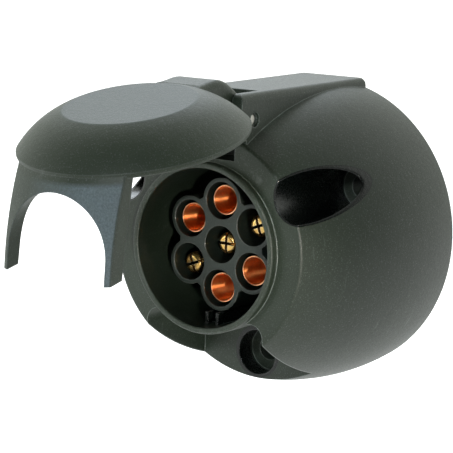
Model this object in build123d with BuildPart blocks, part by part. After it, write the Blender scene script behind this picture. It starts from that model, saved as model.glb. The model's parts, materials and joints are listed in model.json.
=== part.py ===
"""Seven-pole trailer lighting socket with a sprung lid, standing open.

The frame: the origin is on the socket's axis in the mounting face, +Z is up, the mouth faces -Y, and +X is to the
right of somebody who looks into the mouth. Places along the axis are given as "forward" distances, from the mounting
face towards the mouth, so forward f is at y = -f. The lid is drawn closed and then turned open about its hinge.
All sizes are in millimetres.
"""

import os
from math import cos, radians, sin

from build123d import *

os.makedirs("parts", exist_ok=True)

# Domed housing
BODY_LENGTH = 48.5  # mounting face to front face
BACK_R = 35.2
WAIST_R, WAIST_F = 33.9, 26.0  # a point that the dome's outline passes through
FRONT_R = 25.4
FRONT_EDGE_R = 0.8
WALL = 2.4
RIB = 2.0  # thickness of the walls inside

# Mouth
MOUTH_R = 17.9
RIM_R = 19.3
RIM_F = BODY_LENGTH + 2.0
RIM_EDGE_R = 0.4
BARREL_R = 20.1  # outside of the barrel behind the front wall
BARREL_BACK_F = 24.5
KEY_WIDTH, KEY_HEIGHT, KEY_GAP = 0.8, 2.75, 2.9
KEY_SETBACK = 3.0

# Mounting screws: three on a circle, two above and one below
SCREW_CIRCLE_R = 27.5
SCREW_HOLE_R = 2.75
COLUMN_R = 5.2
SEAT_F = 22.0  # where the screw heads sit
SEAT_FLOOR = 3.0
RECESS_R, RECESS_DRAFT = 5.1, 1.5

# Cutaway below the mouth that takes the lid's claws
POCKET_HALF_WIDTH = 15.3  # at its floor
POCKET_TOP_Z = -16.3
POCKET_CORNER_R = 2.4
POCKET_DRAFT = 1.9
POCKET_FLOOR_F = 27.0

# Hinge block on top of the housing
BLOCK_HALF_WIDTH = 9.7
BLOCK_TOP_BACK_Z, BLOCK_TOP_FRONT_Z = 36.0, 34.9
EAR_F = BODY_LENGTH + 1.5
BLOCK_EDGE_R = 1.8
SLOT_HALF_WIDTH = 7.0
SLOT_BACK_F = 40.5
HINGE_F, HINGE_Z = 45.1, 29.2
PIN_R = 1.25
PIN_RECESS_R, PIN_RECESS = 1.65, 0.8

# Contacts: one in the middle and six round it
PITCH_R = 10.0
FACE_F = BODY_LENGTH - 5.4  # front face of the contact carrier
ISLAND_R, LOBE_R = 11.4, 5.15
WELL_R = 4.25
WELL_FLOOR_F = 31.1
SLEEVE_R, SLEEVE_BORE_R, SLEEVE_F = 3.35, 2.5, FACE_F - 1.5
SLEEVE_BORE_DEPTH = 15.5
LEAD_IN, LEAD_IN_DRAFT = 5.0, 7.4
PIN_CONTACT_R, PIN_CONTACT_F = 2.5, FACE_F - 2.2
PIN_TIP_R = 1.2
PIN_SLOT, PIN_SLOT_DEPTH, PIN_SLOT_ANGLE = 0.7, 5.0, 20
LEAN_ROOT_F, LEAN_ROOT, LEAN_ROOT_R = 21.5, 10.0, 2.3  # of the pin that leans: where it bends and its thinner root
LEAN = (-0.68, -0.8)  # sideways and up at the tip
COLLAR_R, COLLAR = 4.0, 1.5
TERMINAL_R, TERMINAL_BACK_F = 3.0, 9.0
WIRE_R, WIRE_DEPTH = 1.5, 7.0
TERMINAL_SCREW_F = 12.5
TERMINAL_SCREW_R, TERMINAL_HEAD_R, TERMINAL_HEAD = 1.25, 1.9, 1.4
TERMINAL_SLOT, TERMINAL_SLOT_DEPTH = 0.6, 0.7

# Contact carrier, its gasket and the plate that keeps the contacts in it
GASKET = 1.0
FLANGE_F, FLANGE, FLANGE_R = BARREL_BACK_F - GASKET, 3.0, 19.8
PLATE, PLATE_R = 2.5, 15.4
PLATE_F = FLANGE_F - FLANGE - PLATE
POST_CIRCLE_R, POST_R, LUG_R = 24.5, 3.2, 3.2
SHANK_R, SHANK, SHANK_GAP = 1.4, 14.0, 0.2
HEAD_R, HEAD = 2.8, 1.8
HEAD_CROSS, HEAD_CROSS_WIDTH, HEAD_CROSS_DEPTH = 3.0, 0.7, 0.9

# Rubber at the back
SEAL_F, SEAL, SEAL_R = 0.3, 2.0, 32.2
GROMMET_R, CABLE_R = 6.5, 4.0

# Lid
LID_ANGLE = 76.7  # how far it stands open
LID_F = BODY_LENGTH + 0.2  # lower edge when it is closed
LID_R, LID_Z = 24.8, -0.4
LID_HEIGHT, LID_SIDE = 8.4, 1.2
LID_TOP_F = LID_F + LID_HEIGHT
LID_FLAT_R = 14.2
LID_WALL = 1.6
LID_SEAL_GAP, LID_SEAL = 0.3, 1.2
LID_SEAL_IN_R, LID_SEAL_OUT_R = 17.0, 19.4
LID_BULGE = 0.58  # 0.5 would be a plain cone
LID_EDGE_R = 0.8
ARM_HALF_WIDTH, ARM_EDGE_R = 6.6, 1.6
ARM_TOP = ((11.2, -12.7), (10.9, -9.2), (10.3, -5.4), (8.6, -2.8), (5.8, -0.1))  # forward of and above the hinge
KNUCKLE_R = 3.4
CLAW_HALF_WIDTH, CLAW_F = 14.2, 29.2
CLAW_TOP_F = LID_F + 1.5  # inside the lid's wall
CLAW_IN_TIP_R, CLAW_IN_TOP_R = 29.7, 23.4
ARCH_R, ARCH_F = 12.9, 33.4
SPRING_R, WIRE_SPRING_R = 2.05, 0.4
SPRING_HALF_GAP = 3.3
COIL_HALF, COIL_TURNS = 2.6, 5

SCREW_ANGLES = (30, 150, 270)
POST_ANGLES = (90, 210, 330)
SLEEVES = {"top": 90, "upper_left": 150, "bottom": 270, "lower_right": 330}
PINS = {"upper_right": 30, "lower_left": 210}


def across(forward, x=0.0, z=0.0):
    """A plane across the axis, with its normal forward, x to the right and y up."""
    return Plane(origin=(x, -forward, z), x_dir=(1, 0, 0), z_dir=(0, -1, 0))


def on_circle(radius, angles):
    return [(radius * cos(radians(a)), radius * sin(radians(a))) for a in angles]


SCREW_POINTS = on_circle(SCREW_CIRCLE_R, SCREW_ANGLES)
POST_POINTS = on_circle(POST_CIRCLE_R, POST_ANGLES)
CONTACT_POINTS = [(0.0, 0.0)] + on_circle(PITCH_R, range(30, 390, 60))
HINGE_AXIS = Axis((0, -HINGE_F, HINGE_Z), (1, 0, 0))


def save(part, name):
    part.label = name
    export_step(part, f"parts/{name}.step")


def dome(shrink):
    """The body of revolution inside the housing's outline, made smaller by shrink on every side but the back."""
    front = BODY_LENGTH - shrink
    with BuildPart() as body:
        with BuildSketch(Plane.XY):
            with BuildLine():
                ThreePointArc((FRONT_R - shrink, -front), (WAIST_R - shrink, -WAIST_F), (BACK_R - shrink, 0))
                Polyline((BACK_R - shrink, 0), (0, 0), (0, -front), (FRONT_R - shrink, -front))
            make_face()
        revolve(axis=Axis.Y)
    return body.part


# ---- housing -------------------------------------------------------------------------------------------------------

with BuildPart() as envelope:
    add(dome(0))
    fillet(envelope.faces().sort_by(Axis.Y)[0].edges(), FRONT_EDGE_R)

with BuildPart() as hinge_block:
    with BuildSketch(Plane.YZ.offset(-BLOCK_HALF_WIDTH)):
        with BuildLine():
            Polyline(
                (0, FRONT_R), (0, BLOCK_TOP_BACK_Z), (-EAR_F, BLOCK_TOP_FRONT_Z), (-EAR_F, HINGE_Z - 1.8),
                (-BODY_LENGTH, FRONT_R + 0.2), (-BODY_LENGTH + 4, MOUTH_R), (0, FRONT_R),
            )
        make_face()
    extrude(amount=2 * BLOCK_HALF_WIDTH)
    block_top = hinge_block.faces().sort_by(Axis.Z)[-1]
    fillet(block_top.edges().filter_by(lambda e: e.center().Y < -1), BLOCK_EDGE_R)

with BuildPart() as hollow:
    add(dome(WALL))
    with BuildSketch(across(0)):
        with Locations((0, (BACK_R - WALL) / 2)):
            Rectangle(2 * (BLOCK_HALF_WIDTH - RIB), BACK_R - WALL + 2)
    extrude(amount=SLOT_BACK_F - RIB)

with BuildPart() as inner_walls:
    with BuildSketch(across(BARREL_BACK_F)):
        Circle(BARREL_R)
        Circle(MOUTH_R, mode=Mode.SUBTRACT)
        with Locations(*POST_POINTS):
            Circle(POST_R)
    extrude(amount=BODY_LENGTH - BARREL_BACK_F)
    with BuildSketch(across(SEAT_F - SEAT_FLOOR)):
        with Locations(*SCREW_POINTS):
            Circle(RECESS_R + RIB)
    extrude(amount=BODY_LENGTH - SEAT_F + SEAT_FLOOR)
    with BuildSketch(across(0)):
        with Locations(*SCREW_POINTS):
            Circle(COLUMN_R)
    extrude(amount=SEAT_F)
    with BuildSketch(across(POCKET_FLOOR_F - RIB)):
        with Locations((0, POCKET_TOP_Z + RIB)):
            Rectangle(2 * (POCKET_HALF_WIDTH + RIB), BACK_R, align=(Align.CENTER, Align.MAX))
        Circle(MOUTH_R, mode=Mode.SUBTRACT)
    extrude(amount=BODY_LENGTH - POCKET_FLOOR_F + RIB)
    with BuildSketch(across(SLOT_BACK_F - RIB)):
        with Locations((0, MOUTH_R)):
            Rectangle(2 * BLOCK_HALF_WIDTH, BACK_R, align=(Align.CENTER, Align.MIN))
        Circle(MOUTH_R, mode=Mode.SUBTRACT)
    extrude(amount=BODY_LENGTH - SLOT_BACK_F + RIB)
    with BuildSketch(across(SEAL_F + SEAL)):
        with PolarLocations(SEAL_R, 3, start_angle=0):
            Rectangle(4, 6)
    extrude(amount=5)
    add(dome(WALL / 2), mode=Mode.INTERSECT)

with BuildPart() as pocket:
    with BuildSketch(across(POCKET_FLOOR_F)):
        with Locations((0, POCKET_TOP_Z)):
            pocket_outline = Rectangle(2 * POCKET_HALF_WIDTH, BACK_R, align=(Align.CENTER, Align.MAX))
        fillet(pocket_outline.vertices().group_by(Axis.Y)[-1], POCKET_CORNER_R)
    extrude(amount=BODY_LENGTH - POCKET_FLOOR_F + 1, taper=-POCKET_DRAFT)
    with BuildSketch(across(POCKET_FLOOR_F)):
        Circle(RIM_R)
    extrude(amount=BODY_LENGTH, mode=Mode.SUBTRACT)

with BuildPart() as housing:
    add(envelope.part)
    add(hinge_block.part)
    add(hollow.part, mode=Mode.SUBTRACT)
    add(inner_walls.part)
    with BuildSketch(across(BODY_LENGTH - WALL)):
        Circle(RIM_R)
    extrude(amount=RIM_F - BODY_LENGTH + WALL)
    with BuildSketch(across(0)):
        Circle(MOUTH_R)
    extrude(amount=RIM_F, mode=Mode.SUBTRACT)
    rim_edges = housing.edges().filter_by(GeomType.CIRCLE).filter_by(lambda e: abs(e.center().Y + RIM_F) < 0.01)
    fillet(rim_edges.filter_by(lambda e: e.radius < RIM_R + 1), RIM_EDGE_R)
    add(pocket.part, mode=Mode.SUBTRACT)
    with BuildSketch(across(SEAT_F)):
        with Locations(*SCREW_POINTS):
            Circle(RECESS_R)
    extrude(amount=BODY_LENGTH - SEAT_F + 1, taper=-RECESS_DRAFT, mode=Mode.SUBTRACT)
    with BuildSketch(across(0)):
        with Locations(*SCREW_POINTS):
            Circle(SCREW_HOLE_R)
    extrude(amount=BODY_LENGTH, mode=Mode.SUBTRACT)
    with BuildSketch(across(BARREL_BACK_F)):
        with Locations(*POST_POINTS):
            Circle(SHANK_R)
    extrude(amount=SHANK - FLANGE - PLATE - GASKET + 1, mode=Mode.SUBTRACT)
    with BuildSketch(across(SLOT_BACK_F)):
        with Locations((0, BARREL_R)):
            Rectangle(2 * SLOT_HALF_WIDTH, BACK_R, align=(Align.CENTER, Align.MIN))
    extrude(amount=BODY_LENGTH, mode=Mode.SUBTRACT)
    with BuildSketch(Plane.YZ.offset(-BLOCK_HALF_WIDTH)):
        with Locations((-HINGE_F, HINGE_Z)):
            Circle(PIN_R)
    extrude(amount=2 * BLOCK_HALF_WIDTH, mode=Mode.SUBTRACT)
    for side in (-1, 1):
        with BuildSketch(Plane.YZ.offset(side * BLOCK_HALF_WIDTH)):
            with Locations((-HINGE_F, HINGE_Z)):
                Circle(PIN_RECESS_R)
        extrude(amount=-side * PIN_RECESS, mode=Mode.SUBTRACT)
    # two short ribs low in the mouth, which the plug's keyway rides on
    with BuildSketch(across(BARREL_BACK_F)):
        for side in (-1, 1):
            with Locations((side * KEY_GAP / 2, -MOUTH_R)):
                Rectangle(KEY_WIDTH, 2 * KEY_HEIGHT)
        Circle(MOUTH_R, mode=Mode.INTERSECT)
    extrude(amount=BODY_LENGTH - KEY_SETBACK - BARREL_BACK_F)

save(housing.part, "housing")

# ---- contact carrier and what holds it -----------------------------------------------------------------------------


def three_lugs(radius):
    """Sketch content: a disc with a lug to each of the three posts."""
    Circle(radius)
    with PolarLocations(POST_CIRCLE_R / 2, 3, start_angle=POST_ANGLES[0]):
        Rectangle(POST_CIRCLE_R, 2 * LUG_R)
    with Locations(*POST_POINTS):
        Circle(LUG_R)


with BuildPart() as contact_carrier:
    with BuildSketch(across(FLANGE_F)):
        Circle(ISLAND_R)
        with PolarLocations(PITCH_R, 6, start_angle=30):
            Circle(LOBE_R)
    extrude(amount=FACE_F - FLANGE_F)
    with BuildSketch(across(FLANGE_F - FLANGE)):
        three_lugs(FLANGE_R)
        with Locations(*POST_POINTS):
            Circle(SHANK_R + SHANK_GAP, mode=Mode.SUBTRACT)
    extrude(amount=FLANGE)
    with BuildSketch(across(WELL_FLOOR_F)):
        with Locations(*CONTACT_POINTS):
            Circle(WELL_R)
    extrude(amount=FACE_F - WELL_FLOOR_F, mode=Mode.SUBTRACT)
    with BuildSketch(across(FLANGE_F - FLANGE)):
        with Locations(*CONTACT_POINTS):
            Circle(SLEEVE_R)
    extrude(amount=WELL_FLOOR_F - FLANGE_F + FLANGE, mode=Mode.SUBTRACT)
    with BuildSketch(across(FLANGE_F - FLANGE)):
        with Locations(*CONTACT_POINTS):
            Circle(COLLAR_R)
    extrude(amount=COLLAR, mode=Mode.SUBTRACT)
save(contact_carrier.part, "contact_carrier")

with BuildPart() as carrier_gasket:
    with BuildSketch(across(FLANGE_F)):
        Circle(FLANGE_R)
        Circle(MOUTH_R, mode=Mode.SUBTRACT)
    extrude(amount=GASKET)
save(carrier_gasket.part, "carrier_gasket")

with BuildPart() as contact_retainer:
    with BuildSketch(across(PLATE_F)):
        three_lugs(PLATE_R)
        with Locations(*POST_POINTS):
            Circle(SHANK_R + SHANK_GAP, mode=Mode.SUBTRACT)
        with Locations(*CONTACT_POINTS):
            Circle(TERMINAL_R + 0.1, mode=Mode.SUBTRACT)
    extrude(amount=PLATE)
save(contact_retainer.part, "contact_retainer")

with BuildPart() as carrier_screws:
    with BuildSketch(across(PLATE_F - HEAD)):
        with Locations(*POST_POINTS):
            Circle(HEAD_R)
    extrude(amount=HEAD)
    with BuildSketch(across(PLATE_F)):
        with Locations(*POST_POINTS):
            Circle(SHANK_R)
    extrude(amount=SHANK)
    chamfer(carrier_screws.faces().sort_by(Axis.Y)[:3].edges(), 0.6)
    with BuildSketch(across(PLATE_F - HEAD)):
        for angle in (0, 90):
            with Locations(*[Location((x, z, 0), (0, 0, angle)) for x, z in POST_POINTS]):
                Rectangle(HEAD_CROSS, HEAD_CROSS_WIDTH)
    extrude(amount=HEAD_CROSS_DEPTH, mode=Mode.SUBTRACT)
save(carrier_screws.part, "carrier_screws")

# ---- contacts ------------------------------------------------------------------------------------------------------


def screw_plane(x, z, angle, outward=0.0):
    """A plane through a terminal whose normal is the direction in which its screw comes out."""
    away = Vector(cos(radians(angle)), 0, sin(radians(angle)))
    return Plane(origin=Vector(x, -TERMINAL_SCREW_F, z) + away * outward, x_dir=(0, 1, 0), z_dir=away)


def contact(x, z, screw_angle, slot_angle=None, lean=None):
    """A contact with its collar and terminal: a split pin where slot_angle is given, and a sleeve elsewhere."""
    is_sleeve = slot_angle is None
    collar_f = FLANGE_F - FLANGE
    pin = across(WELL_FLOOR_F, x, z)
    pin_length = PIN_CONTACT_F - WELL_FLOOR_F
    if lean:
        direction = Vector(lean[0], LEAN_ROOT_F - PIN_CONTACT_F, lean[1])
        root = Plane(origin=(x, -LEAN_ROOT_F, z), x_dir=(1, 0, 0), z_dir=direction.normalized())
        pin, pin_length = root.offset(LEAN_ROOT), direction.length - LEAN_ROOT
    with BuildPart() as piece:
        if lean:
            with BuildSketch(root):
                Circle(LEAN_ROOT_R)
            extrude(amount=LEAN_ROOT)
        else:
            with BuildSketch(across(collar_f, x, z)):
                Circle(SLEEVE_R)
            extrude(amount=(SLEEVE_F if is_sleeve else WELL_FLOOR_F) - collar_f)
        if is_sleeve:
            with BuildSketch(across(SLEEVE_F - SLEEVE_BORE_DEPTH, x, z)):
                Circle(SLEEVE_BORE_R)
            extrude(amount=SLEEVE_BORE_DEPTH, mode=Mode.SUBTRACT)
            with BuildSketch(across(SLEEVE_F - LEAD_IN, x, z)):
                Circle(SLEEVE_BORE_R)
            extrude(amount=LEAD_IN, taper=-LEAD_IN_DRAFT, mode=Mode.SUBTRACT)
        else:
            with BuildSketch(pin):
                Circle(PIN_CONTACT_R)
            extrude(amount=pin_length)
            fillet(piece.faces().sort_by(Axis.Y)[0].edges(), PIN_TIP_R)
            for turn in (0, 90):
                with BuildSketch(pin.offset(pin_length - PIN_SLOT_DEPTH)):
                    Rectangle(2 * PIN_CONTACT_R + 1, PIN_SLOT, rotation=slot_angle + turn)
                extrude(amount=PIN_SLOT_DEPTH + 1, mode=Mode.SUBTRACT)
        with BuildSketch(across(collar_f, x, z)):
            Circle(COLLAR_R)
        extrude(amount=COLLAR)
        with BuildSketch(across(TERMINAL_BACK_F, x, z)):
            Circle(TERMINAL_R)
        extrude(amount=collar_f - TERMINAL_BACK_F)
        with BuildSketch(across(TERMINAL_BACK_F, x, z)):
            Circle(WIRE_R)
        extrude(amount=WIRE_DEPTH, mode=Mode.SUBTRACT)
        with BuildSketch(screw_plane(x, z, screw_angle)):
            Circle(TERMINAL_SCREW_R)
        extrude(amount=TERMINAL_R, mode=Mode.SUBTRACT)
    return piece.part


def place(angle):
    return on_circle(PITCH_R, [angle])[0]


for where, angle in SLEEVES.items():
    save(contact(*place(angle), angle), f"sleeve_contact_{where}")
for where, angle in PINS.items():
    lean = LEAN if where == "lower_left" else None
    save(contact(*place(angle), angle, PIN_SLOT_ANGLE, lean), f"pin_contact_{where}")
save(contact(0, 0, 0, 0), "pin_contact_centre")

with BuildPart() as terminal_screws:
    for (x, z), angle in zip(CONTACT_POINTS, [0] + list(range(30, 390, 60))):
        with BuildSketch(screw_plane(x, z, angle, WIRE_R - 0.3)):
            Circle(TERMINAL_SCREW_R)
        extrude(amount=TERMINAL_R - WIRE_R + 0.3)
        with BuildSketch(screw_plane(x, z, angle, TERMINAL_R)):
            Circle(TERMINAL_HEAD_R)
        extrude(amount=TERMINAL_HEAD)
        with BuildSketch(screw_plane(x, z, angle, TERMINAL_R + TERMINAL_HEAD)):
            Rectangle(2 * TERMINAL_HEAD_R, TERMINAL_SLOT)
        extrude(amount=-TERMINAL_SLOT_DEPTH, mode=Mode.SUBTRACT)
save(terminal_screws.part, "terminal_screws")

# ---- rubber at the back --------------------------------------------------------------------------------------------

with BuildPart() as rear_seal:
    with BuildSketch(across(SEAL_F)):
        Circle(SEAL_R)
        with Locations(*SCREW_POINTS):
            Circle(COLUMN_R + 0.1, mode=Mode.SUBTRACT)
        Circle(GROMMET_R - 1, mode=Mode.SUBTRACT)
    extrude(amount=SEAL)
save(rear_seal.part, "rear_seal")

with BuildPart() as cable_grommet:
    with BuildSketch(Plane.XY):
        with BuildLine():
            Polyline(
                (CABLE_R, 0), (GROMMET_R + 1, 0), (GROMMET_R + 1, -SEAL_F), (GROMMET_R - 1, -SEAL_F),
                (GROMMET_R - 1, -SEAL_F - SEAL), (GROMMET_R + 1, -SEAL_F - SEAL), (GROMMET_R + 1, -SEAL_F - SEAL - 1.2),
                (CABLE_R + 1, -SEAL_F - SEAL - 4.5), (CABLE_R, -SEAL_F - SEAL - 4.5), (CABLE_R, 0),
            )
        make_face()
    revolve(axis=Axis.Y)
save(cable_grommet.part, "cable_grommet")

# ---- hinge pin and spring ------------------------------------------------------------------------------------------

with BuildPart() as hinge_pin:
    with BuildSketch(Plane.YZ.offset(PIN_RECESS - BLOCK_HALF_WIDTH)):
        with Locations((-HINGE_F, HINGE_Z)):
            Circle(PIN_R)
    extrude(amount=2 * (BLOCK_HALF_WIDTH - PIN_RECESS))
    chamfer(hinge_pin.edges().filter_by(GeomType.CIRCLE), 0.25)
save(hinge_pin.part, "hinge_pin")

with BuildPart() as lid_spring:
    with BuildLine() as coil:
        Helix(
            pitch=2 * COIL_HALF / COIL_TURNS, height=2 * COIL_HALF, radius=SPRING_R,
            center=(-COIL_HALF, -HINGE_F, HINGE_Z), direction=(1, 0, 0),
        )
    with BuildSketch(Plane(origin=coil.wires()[0] @ 0, z_dir=coil.wires()[0] % 0)):
        Circle(WIRE_SPRING_R)
    sweep()
save(lid_spring.part, "lid_spring")

# ---- lid, drawn closed ---------------------------------------------------------------------------------------------

def lid_dome(shrink, bottom_f):
    """The lid's turned form made smaller by shrink on every side but its lower edge, which is at bottom_f."""
    side_f, top_f = LID_F + LID_SIDE, LID_TOP_F - shrink
    rim_r, flat_r = LID_R - shrink, LID_FLAT_R - shrink / 2
    with BuildPart() as body:
        with BuildSketch(Plane.XY):
            with BuildLine():
                Line((0, -bottom_f), (rim_r, -bottom_f))
                Line((rim_r, -bottom_f), (rim_r, -side_f))
                bend = (rim_r * LID_BULGE + flat_r * (1 - LID_BULGE), -side_f * (1 - LID_BULGE) - top_f * LID_BULGE)
                ThreePointArc((rim_r, -side_f), bend, (flat_r, -top_f))
                Polyline((flat_r, -top_f), (0, -top_f), (0, -bottom_f))
            make_face()
        revolve(axis=Axis.Y)
    return Pos(0, 0, LID_Z) * body.part


with BuildPart() as claws:
    with BuildSketch(Plane.XY):
        with BuildLine():
            ThreePointArc((FRONT_R - 0.7, -CLAW_TOP_F), (WAIST_R - 0.3, -WAIST_F), (BACK_R - 0.3, 0))
            Polyline(
                (BACK_R - 0.3, 0), (CLAW_IN_TIP_R, -CLAW_F), (CLAW_IN_TOP_R, -LID_F), (CLAW_IN_TOP_R, -CLAW_TOP_F),
                (FRONT_R - 0.7, -CLAW_TOP_F),
            )
        make_face()
    revolve(axis=Axis.Y)
    with BuildSketch(Plane.XY) as claw_outline:
        with BuildLine():
            Polyline(
                (-ARCH_R, -ARCH_F), (-ARCH_R, -CLAW_F), (-CLAW_HALF_WIDTH, -CLAW_F),
                (-CLAW_HALF_WIDTH, -CLAW_TOP_F), (CLAW_HALF_WIDTH, -CLAW_TOP_F),
                (CLAW_HALF_WIDTH, -CLAW_F), (ARCH_R, -CLAW_F), (ARCH_R, -ARCH_F),
            )
            ThreePointArc((ARCH_R, -ARCH_F), (0, -ARCH_F - ARCH_R), (-ARCH_R, -ARCH_F))
        make_face()
    extrude(amount=-BACK_R - 5, mode=Mode.INTERSECT)

# from the knuckle over the front wall to the flat top
with BuildPart() as arm:
    with BuildSketch(Plane.YZ.offset(-ARM_HALF_WIDTH)):
        with BuildLine():
            knuckle_top = (-HINGE_F, HINGE_Z + KNUCKLE_R)
            knuckle_low = (-HINGE_F, HINGE_Z - KNUCKLE_R)
            arm_top = [(-HINGE_F - forward, HINGE_Z + up) for forward, up in ARM_TOP]
            ThreePointArc(knuckle_top, (-HINGE_F + KNUCKLE_R, HINGE_Z), knuckle_low)
            Polyline(knuckle_low, (-LID_F, 24.2), (-LID_F, 20), (-LID_TOP_F + 2, LID_FLAT_R - 3), arm_top[0])
            Spline(*arm_top)
            Line(arm_top[-1], knuckle_top)
        make_face()
    extrude(amount=2 * ARM_HALF_WIDTH)
    fillet(arm.edges().filter_by(GeomType.BSPLINE), ARM_EDGE_R)

with BuildPart() as lid:
    add(lid_dome(0, LID_F))
    fillet(lid.faces().sort_by(Axis.Y)[-1].edges(), LID_EDGE_R)
    add(arm.part)
    add(claws.part)
    add(lid_dome(LID_WALL, LID_F), mode=Mode.SUBTRACT)
    # ring inside that carries the seal
    with BuildSketch(across(RIM_F + LID_SEAL_GAP + LID_SEAL)):
        Circle(LID_SEAL_OUT_R)
        Circle(LID_SEAL_IN_R - 0.6, mode=Mode.SUBTRACT)
    extrude(until=Until.NEXT)
    # gap for the spring, and the bore for the pin
    with BuildSketch(Plane.YZ.offset(-SPRING_HALF_GAP)):
        with BuildLine():
            Polyline(
                (-HINGE_F + 5, HINGE_Z + 5), (-HINGE_F - 2.6, HINGE_Z + 5), (-HINGE_F - 2.6, HINGE_Z - 6),
                (-HINGE_F + 5, HINGE_Z - 6), (-HINGE_F + 5, HINGE_Z + 5),
            )
        make_face()
    extrude(amount=2 * SPRING_HALF_GAP, mode=Mode.SUBTRACT)
    with BuildSketch(Plane.YZ.offset(-ARM_HALF_WIDTH)):
        with Locations((-HINGE_F, HINGE_Z)):
            Circle(PIN_R + 0.05)
    extrude(amount=2 * ARM_HALF_WIDTH, mode=Mode.SUBTRACT)

with BuildPart() as lid_seal:
    with BuildSketch(across(RIM_F + LID_SEAL_GAP)):
        Circle(LID_SEAL_OUT_R)
        Circle(LID_SEAL_IN_R, mode=Mode.SUBTRACT)
    extrude(amount=LID_SEAL)

save(lid.part.rotate(HINGE_AXIS, -LID_ANGLE), "lid")
save(lid_seal.part.rotate(HINGE_AXIS, -LID_ANGLE), "lid_seal")
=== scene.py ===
"""Looks for the trailer wiring socket: materials, lid spring, floor, lights and camera."""

import json
from math import cos, pi, radians, sin

import bpy
from mathutils import Matrix, Vector


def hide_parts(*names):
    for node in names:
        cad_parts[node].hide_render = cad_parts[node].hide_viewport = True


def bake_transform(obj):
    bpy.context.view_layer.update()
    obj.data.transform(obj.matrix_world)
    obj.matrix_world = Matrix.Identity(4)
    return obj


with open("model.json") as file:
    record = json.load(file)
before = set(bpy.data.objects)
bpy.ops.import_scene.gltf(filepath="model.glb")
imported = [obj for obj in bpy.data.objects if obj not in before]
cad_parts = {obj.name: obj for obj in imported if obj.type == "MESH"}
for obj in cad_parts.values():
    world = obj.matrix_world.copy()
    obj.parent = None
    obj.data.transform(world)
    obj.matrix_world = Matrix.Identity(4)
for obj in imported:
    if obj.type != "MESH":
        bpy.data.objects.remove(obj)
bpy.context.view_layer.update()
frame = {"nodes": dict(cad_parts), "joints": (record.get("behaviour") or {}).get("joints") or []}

HINGE = Vector(frame["joints"][0]["pos_m"])

# ---- node helpers ----------------------------------------------------------------------------------------


class Nodes:
    """A material's node tree with short calls for the nodes used here."""

    def __init__(self, name):
        self.material = bpy.data.materials.new(name)
        self.material.use_nodes = True
        self.tree = self.material.node_tree
        self.shader = self.tree.nodes["Principled BSDF"]
        self.coords = self.tree.nodes.new("ShaderNodeTexCoord").outputs["Object"]

    def new(self, kind, inputs=(), **settings):
        node = self.tree.nodes.new(kind)
        for key, value in settings.items():
            setattr(node, key, value)
        for key, value in dict(inputs).items():
            self.put(node.inputs[key], value)
        return node

    def put(self, socket, value):
        if isinstance(value, bpy.types.NodeSocket):
            self.tree.links.new(value, socket)
        else:
            socket.default_value = value

    def stretched(self, scale):
        return self.new("ShaderNodeMapping", {"Vector": self.coords, "Scale": scale}).outputs["Vector"]

    def noise(self, scale, detail=2.0, roughness=0.5, vector=None):
        node = self.new(
            "ShaderNodeTexNoise",
            {"Vector": vector or self.coords, "Scale": scale, "Detail": detail, "Roughness": roughness},
        )
        return node.outputs["Fac"]

    def math(self, operation, a, b=0.0):
        return self.new("ShaderNodeMath", {0: a, 1: b}, operation=operation).outputs[0]

    def ranged(self, value, low, high, to_low=0.0, to_high=1.0):
        node = self.new(
            "ShaderNodeMapRange",
            {"Value": value, "From Min": low, "From Max": high, "To Min": to_low, "To Max": to_high},
        )
        return node.outputs["Result"]

    def mixed(self, factor, a, b):
        node = self.new("ShaderNodeMix", data_type="RGBA")
        self.put(node.inputs[0], factor)
        self.put(node.inputs[6], a)
        self.put(node.inputs[7], b)
        return node.outputs[2]

    def vector_math(self, operation, a, b):
        return self.new("ShaderNodeVectorMath", {0: a, 1: b}, operation=operation).outputs["Vector"]

    def dot(self, a, b):
        return self.new("ShaderNodeVectorMath", {0: a, 1: b}, operation="DOT_PRODUCT").outputs["Value"]

    def rounded(self, radius):
        """The normal as if every edge had this radius."""
        return self.new("ShaderNodeBevel", {"Radius": radius}, samples=6).outputs["Normal"]

    def edges(self, radius, low, high):
        """1 on convex and concave edges and 0 on flat ground."""
        normal = self.new("ShaderNodeNewGeometry").outputs["Normal"]
        turned = self.math("SUBTRACT", 1.0, self.dot(self.rounded(radius), normal))
        return self.ranged(turned, low, high)

    def within(self, radius, softness, *centres):
        """1 inside cylinders along Y of this radius, through the given (x, z) points, and 0 outside."""
        inside = 0.0
        for x, z in centres:
            offset = self.vector_math("SUBTRACT", self.coords, (x, 0, z))
            flat = self.vector_math("MULTIPLY", offset, (1, 0, 1))
            far = self.new("ShaderNodeVectorMath", {0: flat}, operation="LENGTH").outputs["Value"]
            inside = self.math("MAXIMUM", inside, self.ranged(far, radius, radius - softness))
        return inside

    def along(self, axis):
        """The x, y or z of a surface point, in metres."""
        return self.new("ShaderNodeSeparateXYZ", {"Vector": self.coords}).outputs[axis]

    def bump(self, height, strength, distance, under=None):
        inputs = {"Height": height, "Strength": strength, "Distance": distance}
        if under is not None:
            inputs["Normal"] = under
        return self.new("ShaderNodeBump", inputs).outputs["Normal"]


def rgb(r, g, b):
    return (r, g, b, 1.0)


# ---- materials -------------------------------------------------------------------------------------------


MOUTH_R = 0.01795
RECESS_R = 0.0062
RECESS_FLOOR_Y = -0.0222
RECESS_CIRCLE_R = 0.0275
WELL_R = 0.0043
PITCH_R = 0.01

BORE_SOFTNESS = 0.0001
FLOOR_SOFTNESS = 0.0006
SOFT_EDGE = 0.0005
# how far the plastics' painted edge highlight reaches from each edge
HIGHLIGHT_EDGE_RADIUS = 0.0004
RUBBED_METAL_EDGE = 0.00025
GRAIN_DEPTH = 0.00012
PIT_DEPTH = 0.00006
LINE_DEPTH = 0.00003
# painted shade for the walls inside the mouth, the screw recesses and the contact wells
BORE_SHADE_COLOUR = rgb(0.0012, 0.002, 0.002)
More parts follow.
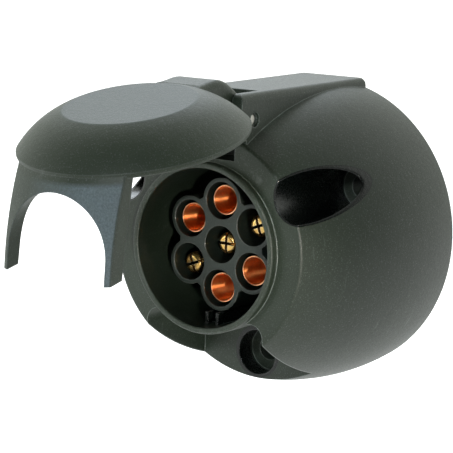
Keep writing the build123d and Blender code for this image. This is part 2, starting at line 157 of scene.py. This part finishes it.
# pale blue-grey of the etched zones, partly a painted highlight where the lid catches the lamps
ETCHED_HIGHLIGHT_COLOUR = rgb(0.14, 0.18, 0.205)


def on_circle(radius, *angles):
    """(x, z) points on a circle about the mouth's axis, at angles in degrees."""
    return [(radius * cos(radians(a)), radius * sin(radians(a))) for a in angles]


RECESSES = on_circle(RECESS_CIRCLE_R, 30, 150, 270)
WELLS = [(0, 0)] + on_circle(PITCH_R, *range(30, 390, 60))


def moulded_plastic(name, dark, light, edge, roughness, grain=1.0, speckle=0.0, smooth=(), etched=None):
    """Spark-eroded moulded plastic: fine pits, cloudy colour, edges painted paler as a painted highlight
    with some wear, and faint scuffs.

    smooth lists (radius, centres) of the bore walls that are smoother and carry painted shade, near-black,
    down to the recesses' floors.
    etched takes the node helper and returns where the surface is etched coarser and painted paler, the paler
    colour partly a painted highlight.
    """
    n = Nodes(name)
    cloud = n.ranged(n.noise(55, 4, 0.6), 0.3, 0.7)
    pits = n.noise(2600, 3, 0.7)
    coarse = n.noise(900, 2, 0.6)
    colour = n.mixed(cloud, dark, light)
    flecks = n.math("MULTIPLY", n.ranged(n.noise(3400, 1, 0.5), 0.58, 0.78), 0.2 + speckle)
    colour = n.mixed(flecks, colour, edge)
    # painted highlight with some wear: convex and concave edges are painted paler, in patches, as small
    # rounded edges catch light
    rubbed = n.ranged(n.noise(320, 3, 0.7), 0.25, 0.7, 0.35, 1.0)
    edge_highlight_and_wear = n.math("MULTIPLY", n.edges(HIGHLIGHT_EDGE_RADIUS, 0.01, 0.16), rubbed)
    colour = n.mixed(n.math("MULTIPLY", edge_highlight_and_wear, 0.75), colour, edge)
    scuff = n.ranged(n.noise(70, 6, 0.75, n.stretched((1.0, 7.0, 1.0))), 0.62, 0.72)
    colour = n.mixed(n.math("MULTIPLY", scuff, 0.18), colour, edge)
    rough = n.ranged(pits, 0.3, 0.7, roughness - 0.07, roughness + 0.07)
    rough = n.math("SUBTRACT", rough, n.math("MULTIPLY", edge_highlight_and_wear, 0.12))
    height = pits
    if etched:
        etched_highlight_zone = etched(n)
        grains = n.ranged(n.noise(2600, 2, 0.7), 0.3, 0.7, 0.45, 1.0)
        # painted highlight: the etched zone is painted paler blue-grey
        colour = n.mixed(n.math("MULTIPLY", etched_highlight_zone, grains), colour, ETCHED_HIGHLIGHT_COLOUR)
        rough = n.math("ADD", rough, n.math("MULTIPLY", etched_highlight_zone, 0.08))
        height = n.math("MULTIPLY", pits, n.math("ADD", 1.0, n.math("MULTIPLY", etched_highlight_zone, 1.2)))
    if smooth:
        bore_shade = 0.0
        for radius, centres in smooth:
            bore_shade = n.math("MAXIMUM", bore_shade, n.within(radius, BORE_SOFTNESS, *centres))
        walls = n.ranged(n.along("Y"), RECESS_FLOOR_Y, RECESS_FLOOR_Y - FLOOR_SOFTNESS)
        bore_shade = n.math("MULTIPLY", bore_shade, walls)
        # painted shade: these walls are painted near-black, as the inside of the mouth, recesses and wells
        # lies in shade
        colour = n.mixed(n.math("MULTIPLY", bore_shade, 0.95), colour, BORE_SHADE_COLOUR)
        rough = n.math("SUBTRACT", rough, n.math("MULTIPLY", bore_shade, 0.22))
        height = n.math("MULTIPLY", height, n.math("SUBTRACT", 1.0, n.math("MULTIPLY", bore_shade, 0.8)))
    n.put(n.shader.inputs["Base Color"], colour)
    n.put(n.shader.inputs["Roughness"], rough)
    n.shader.inputs["Specular IOR Level"].default_value = 0.5
    normal = n.bump(coarse, 0.35 * grain, GRAIN_DEPTH, n.rounded(SOFT_EDGE))
    n.put(n.shader.inputs["Normal"], n.bump(height, 0.55 * grain, PIT_DEPTH, normal))
    return n.material


def turned_metal(name, base, tarnish, roughness, stretch, wear_colour=None, turned=0.0):
    """Turned or drawn metal: fine lines, tarnish in patches and brighter rubbed edges.

    turned is how far the fine lines round an axis along Y draw the reflections out along it.
    """
    n = Nodes(name)
    patches = n.ranged(n.noise(420, 4, 0.65), 0.38, 0.68)
    lines = n.noise(260, 2, 0.6, n.stretched(stretch))
    rub = n.edges(RUBBED_METAL_EDGE, 0.01, 0.2)
    colour = n.mixed(n.math("MULTIPLY", patches, 0.65), base, tarnish)
    n.put(n.shader.inputs["Base Color"], n.mixed(n.math("MULTIPLY", rub, 0.7), colour, wear_colour or base))
    n.shader.inputs["Metallic"].default_value = 1.0
    rough = n.ranged(lines, 0.3, 0.7, roughness - 0.08, roughness + 0.08)
    n.put(n.shader.inputs["Roughness"], n.math("ADD", rough, n.math("MULTIPLY", patches, 0.08)))
    n.put(n.shader.inputs["Normal"], n.bump(lines, 0.25, LINE_DEPTH))
    if turned:
        n.shader.inputs["Anisotropic"].default_value = turned
        n.shader.inputs["Anisotropic Rotation"].default_value = 0.25
        tangent = n.new("ShaderNodeTangent", direction_type="RADIAL", axis="Y").outputs["Tangent"]
        n.put(n.shader.inputs["Tangent"], tangent)
    return n.material


def soft_rubber(name, base, dusty):
    n = Nodes(name)
    cloud = n.ranged(n.noise(180, 4, 0.6), 0.35, 0.7)
    pits = n.noise(1800, 3, 0.7)
    n.put(n.shader.inputs["Base Color"], n.mixed(n.math("MULTIPLY", cloud, 0.6), base, dusty))
    n.put(n.shader.inputs["Roughness"], n.ranged(pits, 0.3, 0.7, 0.62, 0.82))
    n.put(n.shader.inputs["Normal"], n.bump(pits, 0.5, PIT_DEPTH))
    return n.material


# the lid's rim plane, as it stands open
LID_CENTRE = Vector((0, -0.07473, 0.02589))
LID_NORMAL = Vector((0, -0.23, 0.973)).normalized()
LID_HEIGHT = 0.0084
CLAW_HALF_WIDTH = 0.0142
# across the claws, the paler colour, a painted highlight, grows from faint at the first x to full at the
# second
HIGHLIGHT_FROM_X, HIGHLIGHT_TO_X = -0.008, 0.007


def lid_etched_highlight_zones(n):
    """The flat top, faintly, and the claws below the lid's rim, apart from their cut side faces; on the
    claws the paler colour is a painted highlight that grows towards +x.
    """
    height = n.math("SUBTRACT", n.dot(n.coords, LID_NORMAL), LID_CENTRE.dot(LID_NORMAL))
    top = n.ranged(height, LID_HEIGHT - 0.0002, LID_HEIGHT - 0.00005)
    claws = n.ranged(height, -0.0002, -0.0012)
    # painted highlight: the claws are painted paler towards +x, where they face the lamps
    claws = n.math("MULTIPLY", claws, n.ranged(n.along("X"), HIGHLIGHT_FROM_X, HIGHLIGHT_TO_X, 0.05, 1.0))
    off_centre = n.math("ABSOLUTE", n.along("X"))
    cut_faces = n.ranged(off_centre, CLAW_HALF_WIDTH - 0.0004, CLAW_HALF_WIDTH - 0.0001)
    claws = n.math("MULTIPLY", claws, n.math("SUBTRACT", 1.0, cut_faces))
    return n.math("MAXIMUM", n.math("MULTIPLY", top, 0.2), claws)


HOUSING = moulded_plastic(
    "housing_black", rgb(0.010, 0.018, 0.009), rgb(0.017, 0.026, 0.016), rgb(0.28, 0.32, 0.30), 0.48,
    smooth=((MOUTH_R, ((0, 0),)), (RECESS_R, RECESSES)),
)
LID = moulded_plastic(
    "lid_black", rgb(0.019, 0.029, 0.016), rgb(0.029, 0.041, 0.025), rgb(0.16, 0.18, 0.18), 0.5, 1.3, 0.14,
    etched=lid_etched_highlight_zones,
)
CARRIER = moulded_plastic(
    "carrier_black", rgb(0.005, 0.010, 0.007), rgb(0.009, 0.015, 0.011), rgb(0.12, 0.13, 0.12), 0.5, 0.7,
    smooth=((WELL_R, WELLS),),
)
RUBBER = soft_rubber("rubber_black", rgb(0.014, 0.014, 0.014), rgb(0.04, 0.04, 0.038))
COPPER = turned_metal(
    "copper_sleeve", rgb(0.9, 0.33, 0.1), rgb(0.6, 0.15, 0.04), 0.33, (3.0, 40.0, 3.0), rgb(0.95, 0.78, 0.6),
    turned=0.95,
)
BRASS = turned_metal(
    "brass_pin", rgb(0.9, 0.6, 0.2), rgb(0.45, 0.17, 0.03), 0.24, (1.0, 6.0, 1.0), rgb(1.0, 0.88, 0.6),
)
STEEL = turned_metal("steel_pin", rgb(0.66, 0.65, 0.6), rgb(0.4, 0.37, 0.32), 0.32, (7.0, 1.0, 7.0))
ZINC = turned_metal("zinc_screw", rgb(0.7, 0.7, 0.66), rgb(0.45, 0.44, 0.36), 0.36, (4.0, 4.0, 4.0))
WIRE = turned_metal("spring_wire", rgb(0.6, 0.6, 0.6), rgb(0.32, 0.3, 0.28), 0.3, (8.0, 8.0, 8.0))

LOOKS = {
    HOUSING: ("housing",),
    LID: ("lid",),
    CARRIER: ("contact_carrier", "contact_retainer"),
    RUBBER: ("lid_seal", "carrier_gasket", "rear_seal", "cable_grommet"),
    COPPER: tuple(n for n in frame["nodes"] if n.startswith("sleeve_contact")),
    BRASS: tuple(n for n in frame["nodes"] if n.startswith("pin_contact")),
    STEEL: ("hinge_pin",),
    ZINC: ("carrier_screws", "terminal_screws"),
}
for material, nodes in LOOKS.items():
    for node in nodes:
        for holder in frame["nodes"][node].material_slots:
            holder.material = material

# ---- lid spring: a coil round the hinge pin with a leg at each end ---------------------------------------

WIRE_R = 0.0004
COIL_R = 0.00205
COIL_HALF = 0.0026
COIL_TURNS = 5
COIL_STEPS = 150
LEG = 0.0042
LEG_STEPS = 8
# the coil stops this far short of whole turns, so that its last leg points down
LID_LEG_TURN = radians(70)


def tube(name, points, radius, sides=10):
    """A mesh tube with flat ends along the given points."""
    rings, faces = [], []
    turns = [2 * pi * k / sides for k in range(sides)]
    across = (points[1] - points[0]).normalized().orthogonal().normalized()
    for i, point in enumerate(points):
        tangent = (points[min(i + 1, len(points) - 1)] - points[max(i - 1, 0)]).normalized()
        across = (across - tangent * across.dot(tangent)).normalized()
        other = tangent.cross(across)
        rings += [point + radius * (cos(t) * across + sin(t) * other) for t in turns]
    for i in range(len(points) - 1):
        for k in range(sides):
            a, b = i * sides + k, i * sides + (k + 1) % sides
            faces.append((a, b, b + sides, a + sides))
    last = (len(points) - 1) * sides
    faces.append(tuple(range(sides - 1, -1, -1)))
    faces.append(tuple(range(last, last + sides)))
    mesh = bpy.data.meshes.new(name)
    mesh.from_pydata([tuple(p) for p in rings], [], faces)
    mesh.polygons.foreach_set("use_smooth", [True] * len(mesh.polygons))
    piece = bpy.data.objects.new(name, mesh)
    bpy.context.scene.collection.objects.link(piece)
    return piece


def spring_points():
    """The low leg towards the housing, the coil, and the leg that points down beside the lid's arm."""
    start = radians(-90)
    stop = start + 2 * pi * COIL_TURNS - LID_LEG_TURN
    points = []
    for i in range(LEG_STEPS, 0, -1):
        points.append(HINGE + Vector((-COIL_HALF, LEG * i / LEG_STEPS, -COIL_R)))
    for i in range(COIL_STEPS + 1):
        turn = start + (stop - start) * i / COIL_STEPS
        x = -COIL_HALF + 2 * COIL_HALF * i / COIL_STEPS
        points.append(HINGE + Vector((x, -COIL_R * cos(turn), COIL_R * sin(turn))))
    coil_end = points[-1]
    way = Vector((0, COIL_R * sin(stop), COIL_R * cos(stop))).normalized()
    for i in range(1, LEG_STEPS + 1):
        points.append(coil_end + way * LEG * i / LEG_STEPS)
    return points


spring = tube("lid_spring_wire", spring_points(), WIRE_R)
spring.data.materials.append(WIRE)
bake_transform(spring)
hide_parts("lid_spring")

# ---- floor, light and camera -----------------------------------------------------------------------------

FLOOR_Z = -0.078
FLOOR_SIZE = 12
GLOW_WAY = (-0.58, 0.81, 0)
GLOW_FROM, GLOW_TO, GLOW = -0.25, 0.06, 0.8

bpy.ops.mesh.primitive_plane_add(size=FLOOR_SIZE, location=(0, 0, FLOOR_Z))
floor = bpy.context.object
floor.name = "floor"
n = Nodes("pale_floor")
n.put(n.shader.inputs["Base Color"], n.mixed(n.noise(3, 3, 0.5), rgb(0.9, 0.9, 0.9), rgb(0.93, 0.93, 0.93)))
n.shader.inputs["Roughness"].default_value = 0.9
n.shader.inputs["Emission Color"].default_value = rgb(1.0, 1.0, 1.0)
# it glows behind the socket and not in front, so that the socket's front stays dark
glow = n.ranged(n.dot(n.coords, GLOW_WAY), GLOW_FROM, GLOW_TO, 0.0, GLOW)
n.put(n.shader.inputs["Emission Strength"], glow)
floor.data.materials.append(n.material)

# The studio is bright at the left and behind, dimmer above, and dark where the socket's right front faces.
DARK_SIDE = Vector((0.42, -0.9, 0.02)).normalized()
world = bpy.data.worlds.new("studio")
world.use_nodes = True
tree = world.node_tree
direction = tree.nodes.new("ShaderNodeTexCoord").outputs["Generated"]
facing = tree.nodes.new("ShaderNodeVectorMath")
facing.operation = "DOT_PRODUCT"
facing.inputs[1].default_value = DARK_SIDE
tree.links.new(direction, facing.inputs[0])
fade = tree.nodes.new("ShaderNodeMapRange")
fade.interpolation_type = "SMOOTHSTEP"
for socket, value in (("From Min", -0.6), ("From Max", 0.45), ("To Min", 1.3), ("To Max", 0.02)):
    fade.inputs[socket].default_value = value
tree.links.new(facing.outputs["Value"], fade.inputs["Value"])
tree.nodes["Background"].inputs["Color"].default_value = rgb(0.95, 1.0, 0.93)
tree.links.new(fade.outputs["Result"], tree.nodes["Background"].inputs["Strength"])
bpy.context.scene.world = world


def light(name, kind, place, aim, power, colour, **settings):
    """A light at place that points at aim, with its kind's own settings."""
    data = bpy.data.lights.new(name, kind)
    data.energy = power
    data.color = colour
    for key, value in settings.items():
        setattr(data, key, value)
    lamp = bpy.data.objects.new(name, data)
    lamp.location = place
    lamp.rotation_euler = (Vector(aim) - Vector(place)).to_track_quat("-Z", "Y").to_euler()
    bpy.context.scene.collection.objects.link(lamp)


light(
    "overhead", "AREA", (-0.42, 0.45, 0.5), (0, -0.04, 0), 1.35, (0.88, 0.965, 1.1),
    shape="DISK", size=0.5,
)
light(
    "left_fill", "AREA", (-0.62, -0.6, 0.1), (-0.01, -0.07, 0), 1.1, (0.94, 1.0, 0.96),
    shape="DISK", size=0.4,
)
# this one draws a bright line down the turned wall of each sleeve
light(
    "streak", "SPOT", (0.66, -0.62, 0.0), (0, -0.045, 0), 60.0, (1.0, 0.93, 0.84),
    spot_size=radians(2.3), spot_blend=0.25, shadow_soft_size=0.02,
)
# and this one lifts the lid's front and claws
light(
    "lid_front", "SPOT", (0.2, -0.72, 0.26), (-0.004, -0.09, 0.022), 36.0, (0.93, 1.0, 1.03),
    spot_size=radians(5.6), spot_blend=0.6, shadow_soft_size=0.06,
)

AZIMUTH, ELEVATION, ROLL = radians(35.94), radians(9.51), radians(1.87)
CAMERA_PLACE = (0.2449, -0.37879, 0.07378)
LENS = 149.2
back = Vector((sin(AZIMUTH) * cos(ELEVATION), -cos(AZIMUTH) * cos(ELEVATION), sin(ELEVATION)))
level = (-back).cross(Vector((0, 0, 1))).normalized()
upright = level.cross(-back)
right = level * cos(ROLL) + upright * sin(ROLL)
up = upright * cos(ROLL) - level * sin(ROLL)
camera_data = bpy.data.cameras.new("camera")
camera_data.lens = LENS
camera_data.sensor_width = 36.0
camera_data.clip_start = 0.01
camera = bpy.data.objects.new("camera", camera_data)
turn = Matrix((right, up, back)).transposed()
camera.matrix_world = Matrix.Translation(CAMERA_PLACE) @ turn.to_4x4()
bpy.context.scene.collection.objects.link(camera)
bpy.context.scene.camera = camera

bpy.context.scene.view_settings.view_transform = "Standard"
bpy.context.scene.view_settings.look = "None"
bpy.context.scene.view_settings.exposure = 0.0
